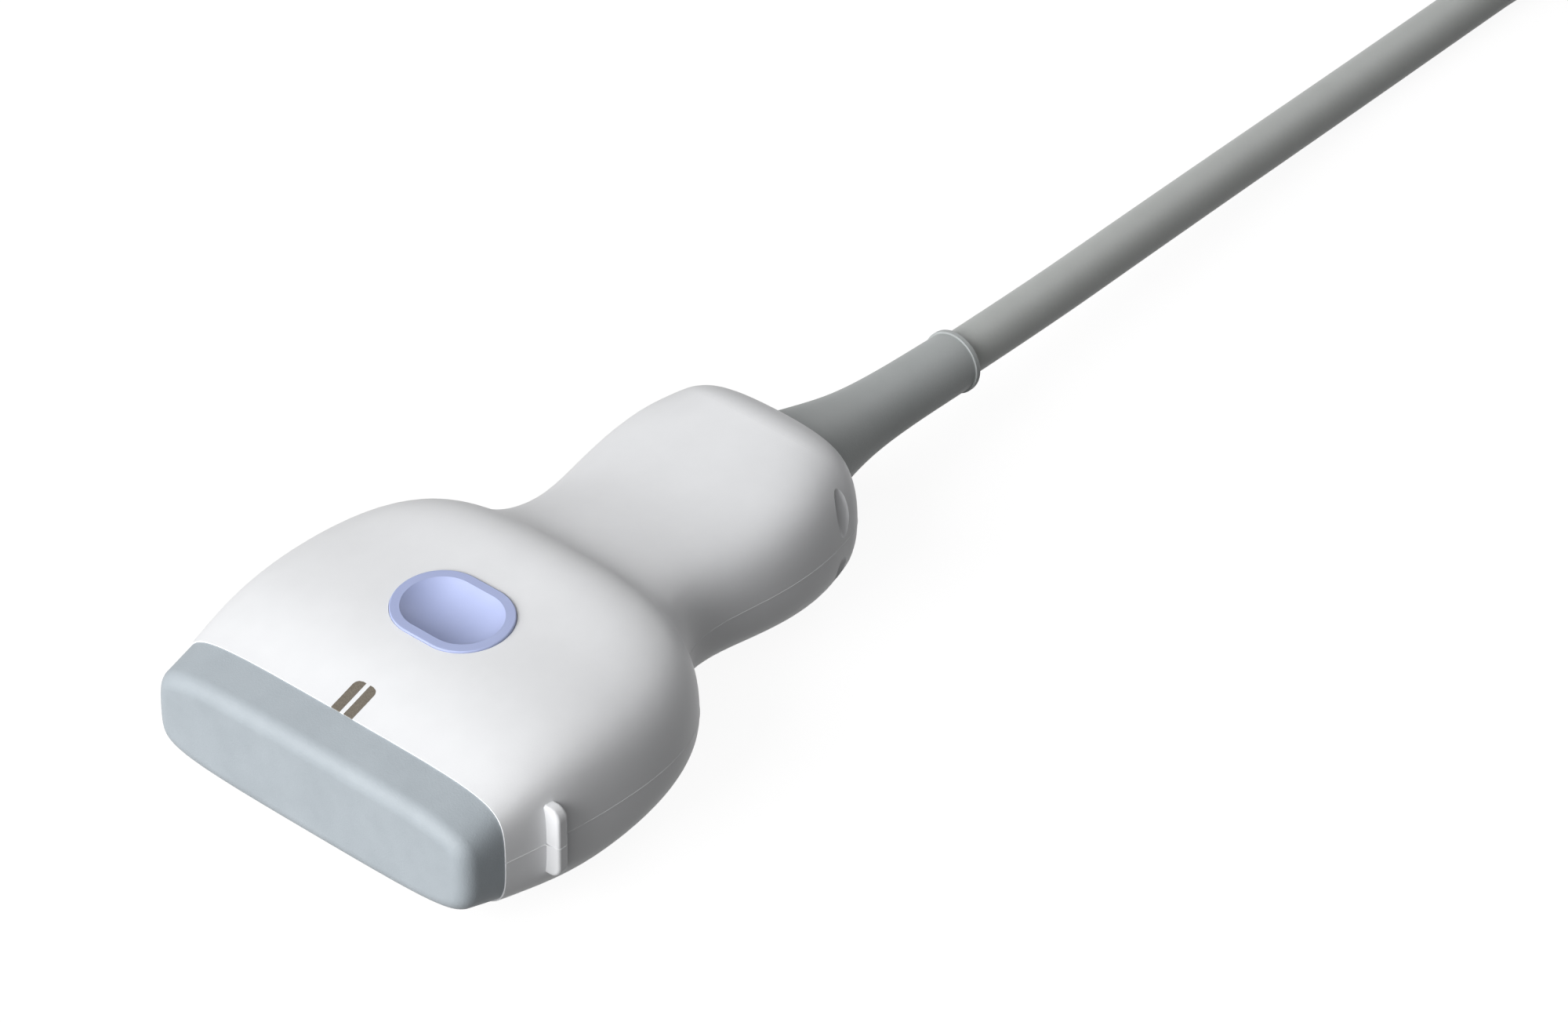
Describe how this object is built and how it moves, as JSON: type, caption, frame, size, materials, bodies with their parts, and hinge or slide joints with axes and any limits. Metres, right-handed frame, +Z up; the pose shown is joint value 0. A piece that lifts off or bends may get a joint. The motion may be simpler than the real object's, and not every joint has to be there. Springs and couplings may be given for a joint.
{
  "type": "ultrasound linear probe",
  "caption": "handheld linear ultrasound transducer with a grey lens face, dished thumb inlay, tapered cable boot, coiled cable and a plug with a turning lock handle",
  "frame": {"origin": "under the middle of the probe's body, on the surface that its belly lies on", "axes": "+X from the lens face to the cable, +Y to the side without the orientation ridge, +Z up out of the crown"},
  "size_m": [0.4887, 0.0806, 0.034],
  "materials": {
    "white_housing": "fine satin moulded ABS",
    "grey_lens": "matt silicone rubber",
    "black_seal": "matt rubber",
    "lavender_inlay": "soft satin",
    "grey_boot": "matt moulded elastomer",
    "cable_jacket": "satin extruded jacket",
    "tie_strap": "woven hook and loop strap",
    "connector_housing": "fine spark-eroded texture",
    "connector_boot_rubber": "matt rubber",
    "contact_insulator": "glass-filled moulding",
    "contact_gold": "gold-plated",
    "matching_resin": "filled epoxy",
    "piezo_ceramic": "diced fired ceramic",
    "backing_rubber": "cast loaded rubber",
    "frame_plastic": "moulded",
    "spreader_aluminium": "folded sheet",
    "flex_polyimide": "polyimide film",
    "socket_plastic": "moulded",
    "board_green": "solder-masked laminate",
    "chip_black": "moulded epoxy",
    "shield_steel": "tinned sheet",
    "screw_steel": "machined stainless",
    "core_bundle": "bundled micro coax",
    "ferrule_copper": "crimped ring",
    "clamp_plastic": "moulded",
    "bush_brass": "turned",
    "shaft_steel": "turned stainless",
    "handle_plastic": "fine moulded texture"
  },
  "bodies": {
    "probe": {"acoustic_lens": "grey_lens", "joint_seal": "black_seal", "outer_matching_layer": "matching_resin", "inner_matching_layer": "matching_resin", "piezo_array": "piezo_ceramic", "backing_block": "backing_rubber", "array_frame": "frame_plastic", "heat_spreader": "spreader_aluminium", "upper_flex_circuit": "flex_polyimide", "lower_flex_circuit": "flex_polyimide", "upper_flex_socket": "socket_plastic", "lower_flex_socket": "socket_plastic", "upper_board": "board_green", "lower_board": "board_green", "board_chips": "chip_black", "upper_board_shield": "shield_steel", "lower_board_shield": "shield_steel", "board_carrier": "frame_plastic", "carrier_screws": "screw_steel", "cable_core": "core_bundle", "shield_ferrule": "ferrule_copper", "upper_cable_clamp": "clamp_plastic", "lower_cable_clamp": "clamp_plastic", "clamp_screws": "screw_steel", "thumb_inlay": "lavender_inlay", "upper_shell": "white_housing", "lower_shell": "white_housing", "boot": "grey_boot", "cable_tube": "cable_jacket", "cable_coil": "cable_jacket", "cable_tail": "cable_jacket", "cable_ties": "tie_strap", "connector_boot": "connector_boot_rubber", "connector_upper_shell": "connector_housing", "connector_lower_shell": "connector_housing", "connector_screws": "screw_steel", "contact_block": "contact_insulator", "contact_pads": "contact_gold", "connector_board": "board_green", "connector_core": "core_bundle", "rear_lock_bush": "bush_brass", "front_lock_bush": "bush_brass"},
    "lock": {"lock_shaft": "shaft_steel", "lock_handle": "handle_plastic", "handle_pin": "shaft_steel", "shaft_clip": "screw_steel"}
  },
  "joints": [
    {"name": "lock_turn", "type": "hinge", "parent": "probe", "child": "lock", "pos_m": [0.35, -0.003, 0.017], "axis": [1, 0, 0], "range_deg": [0, 90]}
  ]
}
